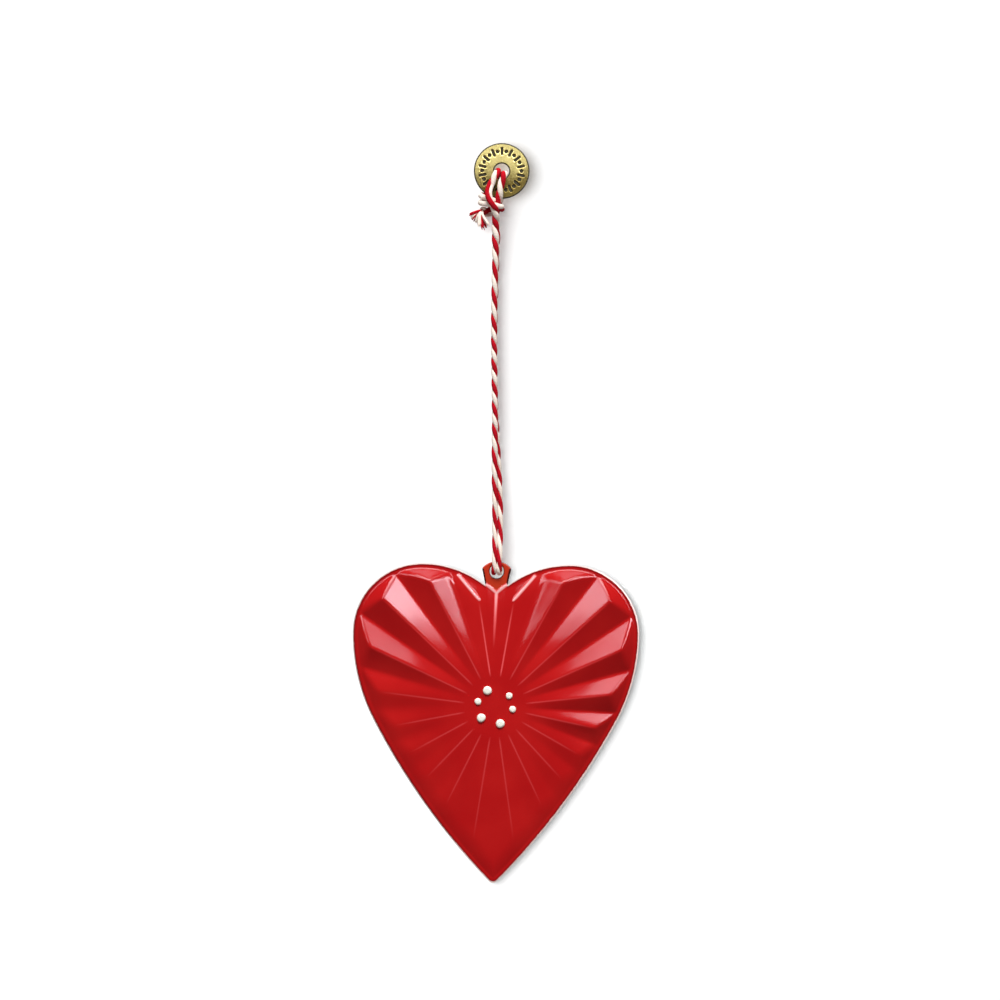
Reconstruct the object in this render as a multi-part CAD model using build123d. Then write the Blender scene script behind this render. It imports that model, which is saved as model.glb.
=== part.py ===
from build123d import *

import os
from math import atan2, cos, degrees, hypot, pi, radians, sin, sqrt, tan

# A pressed tin heart that hangs on doubled twine from a round brass tag, in millimetres.
# The origin is the centre of the tag's hole, +Z is up and the front faces -Y.

# Brass tag: a flat disc with one hole.
TAG_DIAMETER = 11.9
TAG_THICKNESS = 1.1
TAG_HOLE_DIAMETER = 3.2
TAG_EDGE_ROUND = 0.25

# Tin heart: one stamped sheet. Heights and places on it are measured from the centre of its flutes.
HEART_DROP = 114.4
HEART_WIDTH = 61.2
LOBE_SPACING = 31.6
LOBE_RISE = 30.4
TIP_DROP = 38.2
SHOULDER_RADIUS = 22.0
SIDE_RADIUS = 40.0
FLANK_RADIUS = 147.0
TIP_ROUND = 1.2
SHEET_THICKNESS = 0.35
RIM_WIDTH = 1.0
HIP_LENGTH = 3.6
CENTRE_RADIUS = 6.4
CENTRE_HEIGHT = 1.4
RIDGE_CLIMB = 0.034
FLUTES = 20
FLUTE_LEAN = 2.5
ANGLE_SLACK = 0.01

# Tab at the cleft of the heart, in the plane of the rim. Its hole's centre is a height above its foot,
# and its corners and its top are heights above the hole's centre.
TAB_WIDTH = 6.3
TAB_FOOT_WIDTH = 4.7
TAB_HOLE_RISE = 3.09
TAB_HOLE_DIAMETER = 3.0
TAB_CORNER_RISE = 0.6
TAB_TOP_RISE = 2.4
TAB_CORNER_ROUND = 0.5
TAB_VEE_DEPTH = 1.4
TAB_VEE_MARGIN = 0.35

# Enamel drops on the flat centre: the angle of each, counted from the right, and its width.
DROP_CIRCLE_RADIUS = 3.8
LARGE_DROP_WIDTH = 1.9
SMALL_DROP_WIDTH = 1.48
DROP_HEIGHT_SHARE = 0.26
DROPS = [
    (116, LARGE_DROP_WIDTH),
    (38, SMALL_DROP_WIDTH),
    (-8, SMALL_DROP_WIDTH),
    (-72, LARGE_DROP_WIDTH),
    (-140, LARGE_DROP_WIDTH),
    (164, SMALL_DROP_WIDTH),
]

# Twine: its thickness and the places where it flexes.
TWINE_DIAMETER = 1.4
FLEX_ROLL_RADIUS = 1.85
FLEX_GAP = 0.12
KNOT_FLEX = (-1.2, 0.0, -10.6)
TURN_PLACE = (-0.9, 0.0, -47.0)
TAB_FLEX = (0.0, 0.0, -76.0)
CUTTER_SIZE = 200.0

# The doubled twine, from the knot down its front leg, through the tab's hole and up its back leg.
# The two legs turn half round each other on the way down.
LEGS_ROUTE = [
    (-1.20, -0.80, -8.5),
    (-1.12, -0.81, -16.0),
    (-1.25, -0.79, -27.0),
    (-1.15, -0.81, -37.0),
    (-0.90, -0.80, -47.0),
    (-1.00, -0.69, -55.0),
    (-1.06, -0.38, -63.0),
    (-0.92, -0.06, -70.0),
    (-0.80, 0.02, -76.0),
    (-0.50, 0.80, -79.4),
    (-0.05, 1.42, -82.0),
    (0.00, 1.40, -84.8),
    (0.00, -1.40, -84.8),
    (0.05, -1.42, -82.0),
    (0.50, -0.80, -79.4),
    (0.80, -0.02, -76.0),
    (0.68, 0.06, -70.0),
    (0.36, 0.38, -63.0),
    (-0.20, 0.69, -55.0),
    (-0.90, 0.80, -47.0),
    (-1.15, 0.81, -37.0),
    (-1.25, 0.79, -27.0),
    (-1.12, 0.81, -16.0),
    (-1.20, 0.80, -8.5),
]

# The two strands round the lower part of the tag, from the front of the knot to its back.
TAG_STRAND_ROUTES = {
    "left": [
        (-2.20, -0.90, -7.6),
        (-2.75, -1.50, -6.3),
        (-2.95, -1.55, -4.5),
        (-2.20, -1.50, -2.7),
        (-0.80, -1.40, -0.1),
        (-0.80, 1.40, -0.1),
        (-1.20, 1.45, -2.7),
        (-1.75, 1.50, -5.0),
        (-2.20, 1.45, -6.4),
        (-2.20, 0.80, -7.6),
    ],
    "right": [
        (-0.75, -0.90, -7.6),
        (-0.45, -1.50, -6.6),
        (-0.45, -1.55, -5.2),
        (-0.20, -1.50, -3.4),
        (0.55, -1.40, -0.58),
        (0.55, 1.40, -0.58),
        (0.35, 1.45, -3.2),
        (-0.10, 1.50, -5.3),
        (-0.50, 1.45, -6.5),
        (-0.70, 0.85, -7.6),
    ],
}
RUN_SHARE = 0.45

# Knot and frayed tails: where each tail leaves the knot, where it opens, and its yarns' tips.
KNOT_CENTRE = (-1.5, 0.0, -8.0)
KNOT_CORE_RADIUS = 1.7
KNOT_WRAP_RADIUS = 1.1
KNOT_WRAP_TILTS = (38, -52)
TAIL_DIAMETER = 1.3
YARN_ROOT_DIAMETER = 0.55
YARN_TIP_DIAMETER = 0.3
TAILS = {
    "front": [
        (-2.60, -0.75, -8.7),
        (-4.00, -0.90, -8.6),
        [(-6.8, -1.3, -9.6), (-5.5, -0.9, -11.1), (-4.0, -1.2, -12.5), (-2.9, -1.4, -11.4)],
    ],
    "back": [
        (-2.60, 0.75, -8.8),
        (-4.00, 0.75, -8.9),
        [(-6.4, 1.2, -9.0), (-6.0, 0.6, -10.5), (-5.0, 1.0, -11.5), (-3.6, 0.8, -12.0)],
    ],
}


# Brass tag
def make_tag():
    disc = Cylinder(TAG_DIAMETER / 2, TAG_THICKNESS) - Cylinder(TAG_HOLE_DIAMETER / 2, TAG_THICKNESS)
    disc = fillet(disc.edges().filter_by(GeomType.CIRCLE), TAG_EDGE_ROUND)
    return Rot(90, 0, 0) * disc


# Tin heart: the right half of its outline is four arcs that run into each other,
# from the tab's foot over the lobe, past the widest place and down the flank to the tip.
half_width = HEART_WIDTH / 2
lobe_x = LOBE_SPACING / 2
lobe_radius = half_width - lobe_x
widest_z = LOBE_RISE - lobe_radius
side_x = half_width - SIDE_RADIUS


def flank_centre():
    """The centre of the arc that touches the side arc from inside and ends at the tip."""
    to_tip = Vector(-side_x, -TIP_DROP - widest_z)
    reach = FLANK_RADIUS - SIDE_RADIUS
    along = (reach**2 - FLANK_RADIUS**2 + to_tip.length**2) / (2 * to_tip.length)
    across = sqrt(reach**2 - along**2)
    way = to_tip.normalized()
    return Vector(side_x, widest_z) + way * along + Vector(way.Y, -way.X) * across


def angle_from(centre, point):
    return degrees(atan2(point.Y - centre.Y, point.X - centre.X))


flank = flank_centre()
flank_start = angle_from(flank, Vector(side_x, widest_z))
shoulder = Vector(lobe_x, LOBE_RISE - SHOULDER_RADIUS)
tab_foot_x = TAB_FOOT_WIDTH / 2
tab_foot_z = shoulder.Y + sqrt(SHOULDER_RADIUS**2 - (lobe_x - tab_foot_x) ** 2)
tab_hole_z = tab_foot_z + TAB_HOLE_RISE
tab_corners = [Vector(side * TAB_WIDTH / 2, tab_hole_z + TAB_CORNER_RISE) for side in (-1, 1)]
tab_top = Vector(0, tab_hole_z + TAB_TOP_RISE)
vee_z = tab_foot_z - TAB_VEE_DEPTH
vee_end_x = tab_foot_x - TAB_VEE_MARGIN
vee_end_z = vee_z + TAB_VEE_DEPTH * vee_end_x / tab_foot_x
HALF_OUTLINE = [
    (shoulder, SHOULDER_RADIUS, angle_from(shoulder, Vector(tab_foot_x, tab_foot_z)), 90),
    (Vector(lobe_x, widest_z), lobe_radius, 90, 0),
    (Vector(side_x, widest_z), SIDE_RADIUS, 0, flank_start),
    (flank, FLANK_RADIUS, flank_start, angle_from(flank, Vector(0, -TIP_DROP))),
]


def round_point(centre, radius, angle):
    return centre + Vector(cos(radians(angle)), sin(radians(angle))) * radius


def outline_edges():
    """The heart's and the tab's outline, going round from the tab's right foot."""
    right, left = [], []
    for centre, radius, start, end in HALF_OUTLINE:
        points = [round_point(centre, radius, a) for a in (start, (start + end) / 2, end)]
        right.append(Edge.make_three_point_arc(*points))
        left.append(Edge.make_three_point_arc(*[Vector(-p.X, p.Y) for p in points]))
    feet = [Vector(side * tab_foot_x, tab_foot_z) for side in (-1, 1)]
    tab = [
        Edge.make_line(feet[0], tab_corners[0]),
        Edge.make_three_point_arc(tab_corners[0], tab_top, tab_corners[1]),
        Edge.make_line(tab_corners[1], feet[1]),
    ]
    return right + left + tab


def outline_reach(angle, inset):
    """How far from the flutes' centre the outline lies at an angle from the top, moved in by an inset."""
    way = Vector(sin(radians(angle)), cos(radians(angle)))
    for number, (centre, radius, start, end) in enumerate(HALF_OUTLINE):
        along = way.dot(centre)
        room = along**2 - centre.length**2 + (radius - inset) ** 2
        if room < 0:
            continue
        reach = along + sqrt(room)
        place = angle_from(centre, way * reach)
        before_end = number == len(HALF_OUTLINE) - 1 or place >= end - ANGLE_SLACK
        after_start = number == 0 or place <= start + ANGLE_SLACK
        if before_end and after_start:
            return reach
    raise ValueError(f"no outline at {angle} degrees")


def flute_angle(step):
    """The angle from the top of a valley, at an even step, or of a ridge, at an odd one."""
    even = 180 * step / FLUTES
    return even + FLUTE_LEAN * sin(radians(even))


def front_point(angle, reach, height):
    """A point of the heart's front face, a height before the rim's plane."""
    x, z = reach * sin(radians(angle)), reach * cos(radians(angle))
    return Vector(x, -SHEET_THICKNESS / 2 - height, z - HEART_DROP)


def flat_face(*points):
    return Face(Wire.make_polygon(points, close=True))


def relief_points():
    """The points of the relief at each valley and ridge, going round from the top.

    The first list is the flat centre's edge, the second the rim's inner edge, and the third holds
    the outer end of each ridge, or None at a valley.
    """
    centre_edge, rim_edge, ridge_ends = [], [], []
    for step in range(2 * FLUTES):
        side = 1 if step <= FLUTES else -1
        angle = flute_angle(min(step, 2 * FLUTES - step))
        rim_reach = vee_z if step == 0 else outline_reach(angle, RIM_WIDTH)
        centre_edge.append(front_point(side * angle, CENTRE_RADIUS, CENTRE_HEIGHT))
        rim_edge.append(front_point(side * angle, rim_reach, 0))
        ridge_end = None
        if step % 2:
            ridge_reach = outline_reach(angle, HIP_LENGTH)
            ridge_height = CENTRE_HEIGHT + RIDGE_CLIMB * (ridge_reach - CENTRE_RADIUS)
            ridge_end = front_point(side * angle, ridge_reach, ridge_height)
        ridge_ends.append(ridge_end)
    return centre_edge, rim_edge, ridge_ends


def relief_faces(centre_edge, rim_edge, ridge_ends, vee_ends):
    """The flat centre, and for each flank of a ridge two side facets and the hip at its outer end."""
    faces = [flat_face(*centre_edge)]
    for ridge in range(1, 2 * FLUTES, 2):
        end = ridge_ends[ridge]
        for valley in (ridge - 1, (ridge + 1) % (2 * FLUTES)):
            faces.append(flat_face(centre_edge[valley], rim_edge[valley], end))
            faces.append(flat_face(centre_edge[valley], end, centre_edge[ridge]))
            hip_edge = [rim_edge[valley], rim_edge[ridge]]
            if valley == 0:
                hip_edge.insert(1, vee_ends[ridge == 1])
            for start, finish in zip(hip_edge, hip_edge[1:]):
                faces.append(flat_face(start, finish, end))
    return faces


def make_heart():
    centre_edge, rim_edge, ridge_ends = relief_points()
    vee_angle, vee_reach = degrees(atan2(vee_end_x, vee_end_z)), hypot(vee_end_x, vee_end_z)
    vee_ends = [front_point(side * vee_angle, vee_reach, 0) for side in (-1, 1)]
    blank = Face(Wire(outline_edges()))
    blank = blank.fillet_2d(TIP_ROUND, [blank.vertices().sort_by_distance(Vector(0, -TIP_DROP))[0]])
    for corner in tab_corners:
        blank = blank.fillet_2d(TAB_CORNER_ROUND, [blank.vertices().sort_by_distance(corner)[0]])
    rim_plane = Plane(origin=front_point(0, 0, 0), x_dir=(1, 0, 0), z_dir=(0, -1, 0))
    outer = rim_plane.from_local_coords(blank.outer_wire())
    hole = Wire.make_circle(TAB_HOLE_DIAMETER / 2, Plane((0, tab_hole_z, 0)))
    hole = rim_plane.from_local_coords(hole)
    inner = Wire.make_polygon([rim_edge[0], vee_ends[1], *rim_edge[1:], vee_ends[0]], close=True)
    front = [Face(outer, [inner, hole])] + relief_faces(centre_edge, rim_edge, ridge_ends, vee_ends)
    through = Vector(0, SHEET_THICKNESS, 0)
    back = [face.translate(through) for face in front]
    walls = [Face.extrude(edge, through) for edge in outer.edges() + hole.edges()]
    return Solid(Shell(front + back + walls))


# Enamel drops
def make_drop(angle, width):
    height = DROP_HEIGHT_SHARE * width
    ball_radius = (width**2 / 4 + height**2) / (2 * height)
    seat = front_point(90 - angle, DROP_CIRCLE_RADIUS, CENTRE_HEIGHT)
    ball = Pos(*(seat + Vector(0, ball_radius - height, 0))) * Sphere(ball_radius)
    return split(ball, bisect_by=Plane(origin=seat, z_dir=(0, -1, 0)), keep=Keep.TOP)


# Twine
def make_tube(name, route, diameter):
    """A tube along straight runs with an arc at each point, as large as the runs beside it allow."""
    points = [Vector(p) for p in route]
    radii = []
    for before, here, after in zip(points, points[1:], points[2:]):
        turn = (here - before).get_angle(after - here)
        shorter = min((here - before).length, (after - here).length)
        radii.append(RUN_SHARE * shorter / tan(radians(turn / 2)))
    path = FilletPolyline(*points, radius=radii)
    section = Plane(origin=path @ 0, z_dir=path % 0) * Circle(diameter / 2)
    tube = sweep(section, path)
    print(name, "radii", [round(r, 2) for r in radii])
    print(name, "length", round(path.length, 2), "volume", round(tube.volume, 3),
          "section times length", round(pi * diameter**2 / 4 * path.length, 3))
    return tube


def beyond(place, side):
    """Everything above a place, or below it."""
    align = (Align.CENTER, Align.CENTER, side)
    return Pos(*place) * Box(CUTTER_SIZE, CUTTER_SIZE, CUTTER_SIZE, align=align)


def above(place):
    return beyond(place, Align.MIN)


def below(place):
    return beyond(place, Align.MAX)


def flex_roll(place, room=0.0):
    """A roller along X, round which the twine below a place bends forwards and backwards."""
    return Pos(*place) * Rot(0, 90, 0) * Cylinder(FLEX_ROLL_RADIUS + room, CUTTER_SIZE)


def make_legs():
    """The doubled twine, cut where it flexes: round rollers at knot and tab, and flat where it turns."""
    twine = make_tube("twine_legs", LEGS_ROUTE, TWINE_DIAMETER)
    turn_room = Vector(0, 0, FLEX_GAP / 2)
    upper = twine - (above(KNOT_FLEX) - flex_roll(KNOT_FLEX)) - below(Vector(TURN_PLACE) + turn_room)
    lower = twine - above(Vector(TURN_PLACE) - turn_room) - below(TAB_FLEX)
    lower -= flex_roll(TAB_FLEX, FLEX_GAP)
    loop = twine - (above(TAB_FLEX) - flex_roll(TAB_FLEX))
    upper_front, upper_back = upper.solids().sort_by(Axis.Y)
    lower_left, lower_right = lower.solids().sort_by(Axis.X)
    return {
        "twine_upper_leg_front": upper_front,
        "twine_upper_leg_back": upper_back,
        "twine_lower_leg_left": lower_left,
        "twine_lower_leg_right": lower_right,
        "twine_tab_loop": loop,
    }


# Knot, with two turns of twine round its core and a hollow in which the legs flex
def make_knot():
    knot = Sphere(KNOT_CORE_RADIUS)
    for tilt in KNOT_WRAP_TILTS:
        knot += Rot(0, tilt, 0) * Torus(KNOT_WRAP_RADIUS, TWINE_DIAMETER / 2)
    return Pos(*KNOT_CENTRE) * knot - flex_roll(KNOT_FLEX, FLEX_GAP)


def make_tail(root, opening, tips):
    """One cut end of the twine, which opens into its yarns."""
    stub_way = Vector(opening) - Vector(root)
    base = (Align.CENTER, Align.CENTER, Align.MIN)
    tail = Plane(origin=root, z_dir=stub_way) * Cylinder(TAIL_DIAMETER / 2, stub_way.length, align=base)
    tail += Pos(*opening) * Sphere(TAIL_DIAMETER / 2)
    for tip in tips:
        way = Vector(tip) - Vector(opening)
        yarn = Cone(YARN_ROOT_DIAMETER / 2, YARN_TIP_DIAMETER / 2, way.length, align=base)
        tail += Plane(origin=opening, z_dir=way) * yarn
    return tail


parts = {"brass_tag": make_tag(), "tin_heart": make_heart()}
for number, (angle, width) in enumerate(DROPS, 1):
    parts[f"enamel_drop_{number}"] = make_drop(angle, width)
for side, route in TAG_STRAND_ROUTES.items():
    parts[f"twine_tag_strand_{side}"] = make_tube(f"twine_tag_strand_{side}", route, TWINE_DIAMETER)
parts["twine_knot"] = make_knot()
for side, (root, opening, tips) in TAILS.items():
    parts[f"twine_tail_{side}"] = make_tail(root, opening, tips)
parts.update(make_legs())

os.makedirs("parts", exist_ok=True)
for name, shape in parts.items():
    export_step(shape, f"parts/{name}.step")
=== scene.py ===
import math
import random

import bpy
import numpy as np
from mathutils import Matrix, Vector, noise


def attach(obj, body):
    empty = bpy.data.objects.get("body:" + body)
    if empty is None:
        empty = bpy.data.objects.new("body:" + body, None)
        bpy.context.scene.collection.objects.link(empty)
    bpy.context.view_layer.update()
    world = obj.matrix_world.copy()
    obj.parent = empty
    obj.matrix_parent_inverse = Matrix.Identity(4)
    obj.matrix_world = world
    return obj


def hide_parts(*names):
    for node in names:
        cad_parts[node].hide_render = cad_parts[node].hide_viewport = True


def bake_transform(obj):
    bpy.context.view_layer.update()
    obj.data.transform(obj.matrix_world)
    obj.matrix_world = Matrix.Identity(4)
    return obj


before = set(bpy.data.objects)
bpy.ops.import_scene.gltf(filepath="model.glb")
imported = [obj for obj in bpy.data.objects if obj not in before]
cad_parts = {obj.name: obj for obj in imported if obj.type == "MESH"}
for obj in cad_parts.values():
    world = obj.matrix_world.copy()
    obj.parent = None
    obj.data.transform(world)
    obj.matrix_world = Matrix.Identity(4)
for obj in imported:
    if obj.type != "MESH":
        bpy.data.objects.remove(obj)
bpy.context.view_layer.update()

# Camera. It looks straight at the front from far off, as for a product picture, and is rolled a little
# because the ornament hangs slightly askew in the picture.
PICTURE_PIXELS = 1000
PIXELS_PER_METRE = 4680
TAG_HOLE_PIXEL = (501.7, 171.0)
HANG_ROLL = math.radians(0.716)
CAMERA_DISTANCE = 1.5

scene = bpy.context.scene
scene.view_settings.view_transform = "Standard"
camera_data = bpy.data.cameras.new("camera")
camera_data.lens = camera_data.sensor_width * CAMERA_DISTANCE * PIXELS_PER_METRE / PICTURE_PIXELS
across = (PICTURE_PIXELS / 2 - TAG_HOLE_PIXEL[0]) / PIXELS_PER_METRE
upward = (TAG_HOLE_PIXEL[1] - PICTURE_PIXELS / 2) / PIXELS_PER_METRE
camera = bpy.data.objects.new("camera", camera_data)
camera.rotation_euler = (math.pi / 2, -HANG_ROLL, 0)
camera.location = (
    across * math.cos(HANG_ROLL) - upward * math.sin(HANG_ROLL),
    -CAMERA_DISTANCE,
    across * math.sin(HANG_ROLL) + upward * math.cos(HANG_ROLL),
)
scene.collection.objects.link(camera)
scene.camera = camera

# Tin heart. One thin sheet, stamped with twenty flutes round a flat centre and cut with a small tab.
# Its front is lacquered red, more orange on the tab. The cut edge and the back are bare tin. Painted
# highlights make the crests, the raised Y and the bars beside the tab lighter, the crests also for thinner
# lacquer, and make the bare edge wider and brighter low on the right. Painted shade darkens the rim, the
# edges and the right side of the tab's edge, where lacquer also gathers dark.
MILLIMETRES = 1000
HAIR = 1e-6
HEART_DROP = 0.1144
HEART_WIDTH = 0.0612
LOBE_SPACING = 0.0316
LOBE_RISE = 0.0304
TIP_DROP = 0.0382
SHOULDER_RADIUS = 0.022
SIDE_RADIUS = 0.040
FLANK_RADIUS = 0.147
TIP_ROUND = 0.0012

SHEET_THICKNESS = 0.00035
RIM_WIDTH = 0.001
HIP_LENGTH = 0.0036
HIP_ZONE = 0.0052
CENTRE_RADIUS = 0.0064
CENTRE_HEIGHT = 0.0014
RIDGE_CLIMB = 0.034
VALLEY_FALL = 1.3
FLUTES = 20
FLUTE_LEAN = math.radians(2.5)
CREASE_ROUND = 0.00035
HIP_TURNS = (18, 30)
HIP_ROUNDS = (0.0003, 0.0005)
EDGE_ROUND = 0.0004
EDGE_DROP = 0.0001
FAR_FROM_EDGE = 0.004
DENT_HEIGHT = 0.00004
DENT_SIZE = 0.006
RELIEF_TURNS = (-180, -140, -90, -82, -64, -21, -19, 19, 23, 98, 112, 135, 180)
RELIEF_SHARES = (0.22, 0.34, 0.5, 0.62, 1.0, 1.0, 0.15, 0.15, 1.0, 1.0, 0.64, 0.4, 0.22)
RELIEF_SINK = 0.75
SOFT_TURNS = (-180, -140, -95, -66, 108, 130, 180)
SOFT_SHARES = (2.0, 3.0, 3.0, 1.0, 1.0, 2.0, 2.0)

STEM_WIDTH = 0.00095
STEM_TAPER = 0.4
STEM_LEAN = 0.04
ARM_WIDTH = 0.0009
BEAD_HEIGHT = 0.00014
BEAD_END = 0.012
BAR_INNER = np.array([0.0035, 0.0225])
BAR_OUTER = np.array([0.0083, 0.0281])
BAR_BREADTH = 0.0009
BAR_TAPER = 0.6
BAR_FLARE = 3

CREST_WIDTH = 0.00022
CREST_RUNS = (0.0, 0.0015, 0.008, 0.02)
CREST_SHARES = (0.0, 1.0, 0.8, 0.45)
CREST_END = 0.004
CREST_TAB_GAIN = 2.6

TAB_WIDTH = 0.0063
TAB_FOOT_WIDTH = 0.0047
TAB_HOLE_RISE = 0.00309
TAB_HOLE_DIAMETER = 0.003
TAB_CORNER_RISE = 0.0006
TAB_TOP_RISE = 0.0021
TAB_CORNER_ROUND = 0.0004
TAB_VEE_DEPTH = 0.0019
TAB_VEE_RISE = 0.00035
TAB_ARM_END = 0.0026
TAB_VEE_MARGIN = 0.00035
TAB_HOLE_CLEAN = 0.0002
TAB_SHADED = 0.0001
TAB_MASK_VEE_MARGIN = 0.00005
TAB_MASK_SIDE_MARGIN = 0.0001

FLUTE_COLUMNS = (0, 0.03, 0.07, 0.13, 0.22, 0.36, 0.5, 0.64, 0.78, 0.87, 0.93, 0.97)
TAB_FLUTES = 2
TAB_FLUTE_COLUMNS = 28
CENTRE_ROWS = (0.12, 0.35, 0.6, 0.8, 0.92, 1.0)
FLUTE_ROWS = 36
HIP_ROWS = 34
RIM_ROWS = (0.15, 0.4, 0.6, 0.7, 0.8, 0.9, 1.0)
TAB_ROWS = (0, 0.05, 0.12, 0.3, 0.45, 0.55, 0.65, 0.74, 0.82, 0.88, 0.94, 1.0)
TAB_SIDE_STEPS = 17
TAB_CORNER_STEPS = 6
TAB_TOP_STEPS = 13

RIM_SHADE_LINE = (0.45, 1.2)
BUILDUP_AND_SHADE_LINE = (0.25, 0.5)
EDGE_SHADE_LINE = (0.34, 0.6)
BARE_LINE = (0.18, 0.26)
RAGGED_WIDTH = 0.25
# Painted highlight on the bare edge low on the right: its lean, where it starts and is full, and how much
# wider the bare edge gets.
LIT_EDGE_LEAN = 2
LIT_EDGE_START = 0.004
LIT_EDGE_FULL = 0.02
LIT_EDGE_WIDTH = 0.08

LACQUER_RED = (0.50, 0.008, 0.008, 1)
LACQUER_DEEP = (0.455, 0.005, 0.006, 1)
PAINTED_HIGHLIGHT_PINK = (0.80, 0.09, 0.095, 1)
PAINTED_HIGHLIGHT_PALE = (0.90, 0.42, 0.42, 1)
LACQUER_ORANGE = (0.52, 0.036, 0.012, 1)
LACQUER_BUILDUP_AND_SHADE = (0.05, 0.004, 0.003, 1)
PAINTED_RIM_SHADE = (0.37, 0.004, 0.005, 1)
PAINTED_EDGE_SHADE = (0.19, 0.001, 0.003, 1)
CUT_TIN = (0.55, 0.40, 0.37, 1)
PAINTED_EDGE_HIGHLIGHT = (0.86, 0.62, 0.58, 1)
BARE_TIN = (0.80, 0.78, 0.75, 1)
TIN_SHADE = (0.68, 0.665, 0.64, 1)


class Shade:
    """A value in a node tree. Sums and products of it add Math nodes."""

    def __init__(self, tree, socket=None):
        self.tree = tree
        self.socket = socket

    def feed(self, node, sockets):
        """Gives a node's sockets their values or links."""
        for name, value in sockets.items():
            if isinstance(value, Shade):
                self.tree.links.new(value.socket, node.inputs[name])
            else:
                node.inputs[name].default_value = value

    def node(self, kind, settings=None, sockets=None, output=0):
        """Adds a node, with its settings first and then its sockets, and gives one of its outputs."""
        made = self.tree.nodes.new("ShaderNode" + kind)
        for name, value in (settings or {}).items():
            setattr(made, name, value)
        self.feed(made, sockets or {})
        return Shade(self.tree, made.outputs[output])

    def math(self, operation, first, second):
        """One sum on two values or numbers."""
        return self.node("Math", {"operation": operation}, {0: first, 1: second})

    def __add__(self, other):
        return self.math("ADD", self, other)

    def __sub__(self, other):
        return self.math("SUBTRACT", self, other)

    def __rsub__(self, other):
        return self.math("SUBTRACT", other, self)

    def __mul__(self, other):
        return self.math("MULTIPLY", self, other)

    __radd__ = __add__
    __rmul__ = __mul__

    def step(self, low, high):
        """0 below the low value, 1 above the high one, and smooth between them."""
        limits = {"Value": self, "From Min": low, "From Max": high}
        return self.node("MapRange", {"interpolation_type": "SMOOTHSTEP"}, limits)

    def mix(self, first, second):
        """The first colour where this value is 0, and the second where it is 1."""
        return self.node("Mix", {"data_type": "RGBA"}, {0: self, 6: first, 7: second}, output=2)

    def place(self):
        """Where a point is on its own object."""
        return self.node("TexCoord", output=3)

    def place_along(self, axis):
        """How far a point is to the right along axis 0, to the rear along 1, or up along 2."""
        return self.node("SeparateXYZ", {}, {"Vector": self.place()}, output=axis)

    def mottle(self, size, detail=2.0, stretch=(1, 1, 1)):
        """Soft noise from 0 to 1 with patches of about the given size."""
        scale = tuple(share / size for share in stretch)
        scaled = self.node("Mapping", {}, {"Vector": self.place(), "Scale": scale})
        return self.node("TexNoise", {}, {"Vector": scaled, "Scale": 1.0, "Detail": detail})

    def marked(self, name):
        """A number stored on the mesh's points."""
        return self.node("Attribute", {"attribute_name": name}, output=2)

    def bump(self, height, depth):
        """A surface's direction, with small bumps of a depth."""
        return self.node("Bump", {}, {"Height": height, "Distance": depth, "Strength": 1.0})


def new_material(name):
    """A new material, its shader, and an empty value to build its nodes from."""
    material = bpy.data.materials.new(name)
    material.use_nodes = True
    return material, material.node_tree.nodes["Principled BSDF"], Shade(material.node_tree)


def lacquered_tin():
    """Red lacquer, lighter on the crests for thinner lacquer and a painted highlight, with a painted
    highlight on the raised Y and the bars, painted shade along the rim and the edges, and bare at the cut,
    where a painted highlight widens and brightens the bare edge low on the right.
    """
    material, shader, start = new_material("red_lacquer")
    edge, tab, crest, bead = (start.marked(name) for name in ("edge", "tab", "crest", "bead"))
    cloudy = start.mottle(0.009)
    ragged = start.mottle(0.0006, detail=3.0)
    red = cloudy.step(0.3, 0.75).mix(LACQUER_DEEP, LACQUER_RED)
    # Painted highlight along the crests, which also stands for thinner lacquer there.
    red = (crest * 0.5).mix(red, PAINTED_HIGHLIGHT_PINK)
    off_tab = 1 - tab
    # Painted shade: a darker band along the rim, off the tab.
    red = ((1 - edge.step(*RIM_SHADE_LINE)) * off_tab).mix(red, PAINTED_RIM_SHADE)
    red = tab.mix(red, LACQUER_ORANGE)
    # Painted highlight: the raised Y, the stem and the bars are painted pink, and paler along their
    # middles.
    red = bead.step(0.0, 0.5).mix(red, PAINTED_HIGHLIGHT_PINK)
    red = bead.step(0.4, 1.0).mix(red, PAINTED_HIGHLIGHT_PALE)
    near_edge = edge + (ragged - 0.5) * RAGGED_WIDTH
    # Dark line along the tab's edges: lacquer build-up, made wider on the right side as painted shade.
    red = ((1 - near_edge.step(*BUILDUP_AND_SHADE_LINE)) * tab).mix(red, LACQUER_BUILDUP_AND_SHADE)
    # Painted shade: a dark line just inside the bare edge, off the tab.
    red = ((1 - near_edge.step(*EDGE_SHADE_LINE)) * off_tab).mix(red, PAINTED_EDGE_SHADE)
    # Painted highlight: low on the right the bare cut edge is painted wider and brighter, as where it
    # catches the light.
    low_right = start.place_along(0) * LIT_EDGE_LEAN - start.place_along(2)
    lighter_share = low_right.step(HEART_DROP + LIT_EDGE_START, HEART_DROP + LIT_EDGE_FULL)
    bare = (1 - (near_edge - lighter_share * LIT_EDGE_WIDTH).step(*BARE_LINE)) * off_tab
    speck = start.mottle(0.0025, detail=4.0)
    start.feed(shader, {
        "Base Color": bare.mix(red, lighter_share.mix(CUT_TIN, PAINTED_EDGE_HIGHLIGHT)),
        "Metallic": bare * 0.1,
        "Roughness": 0.34 + speck * 0.12 + bare * 0.2,
        "Coat Weight": 0.85 - bare * 0.85,
        "Coat Roughness": 0.14,
        "Coat IOR": 1.25,
        "Specular IOR Level": 0.0,
        "Normal": start.bump(start.mottle(0.0016, detail=3.0), 0.000012),
    })
    return material


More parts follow.
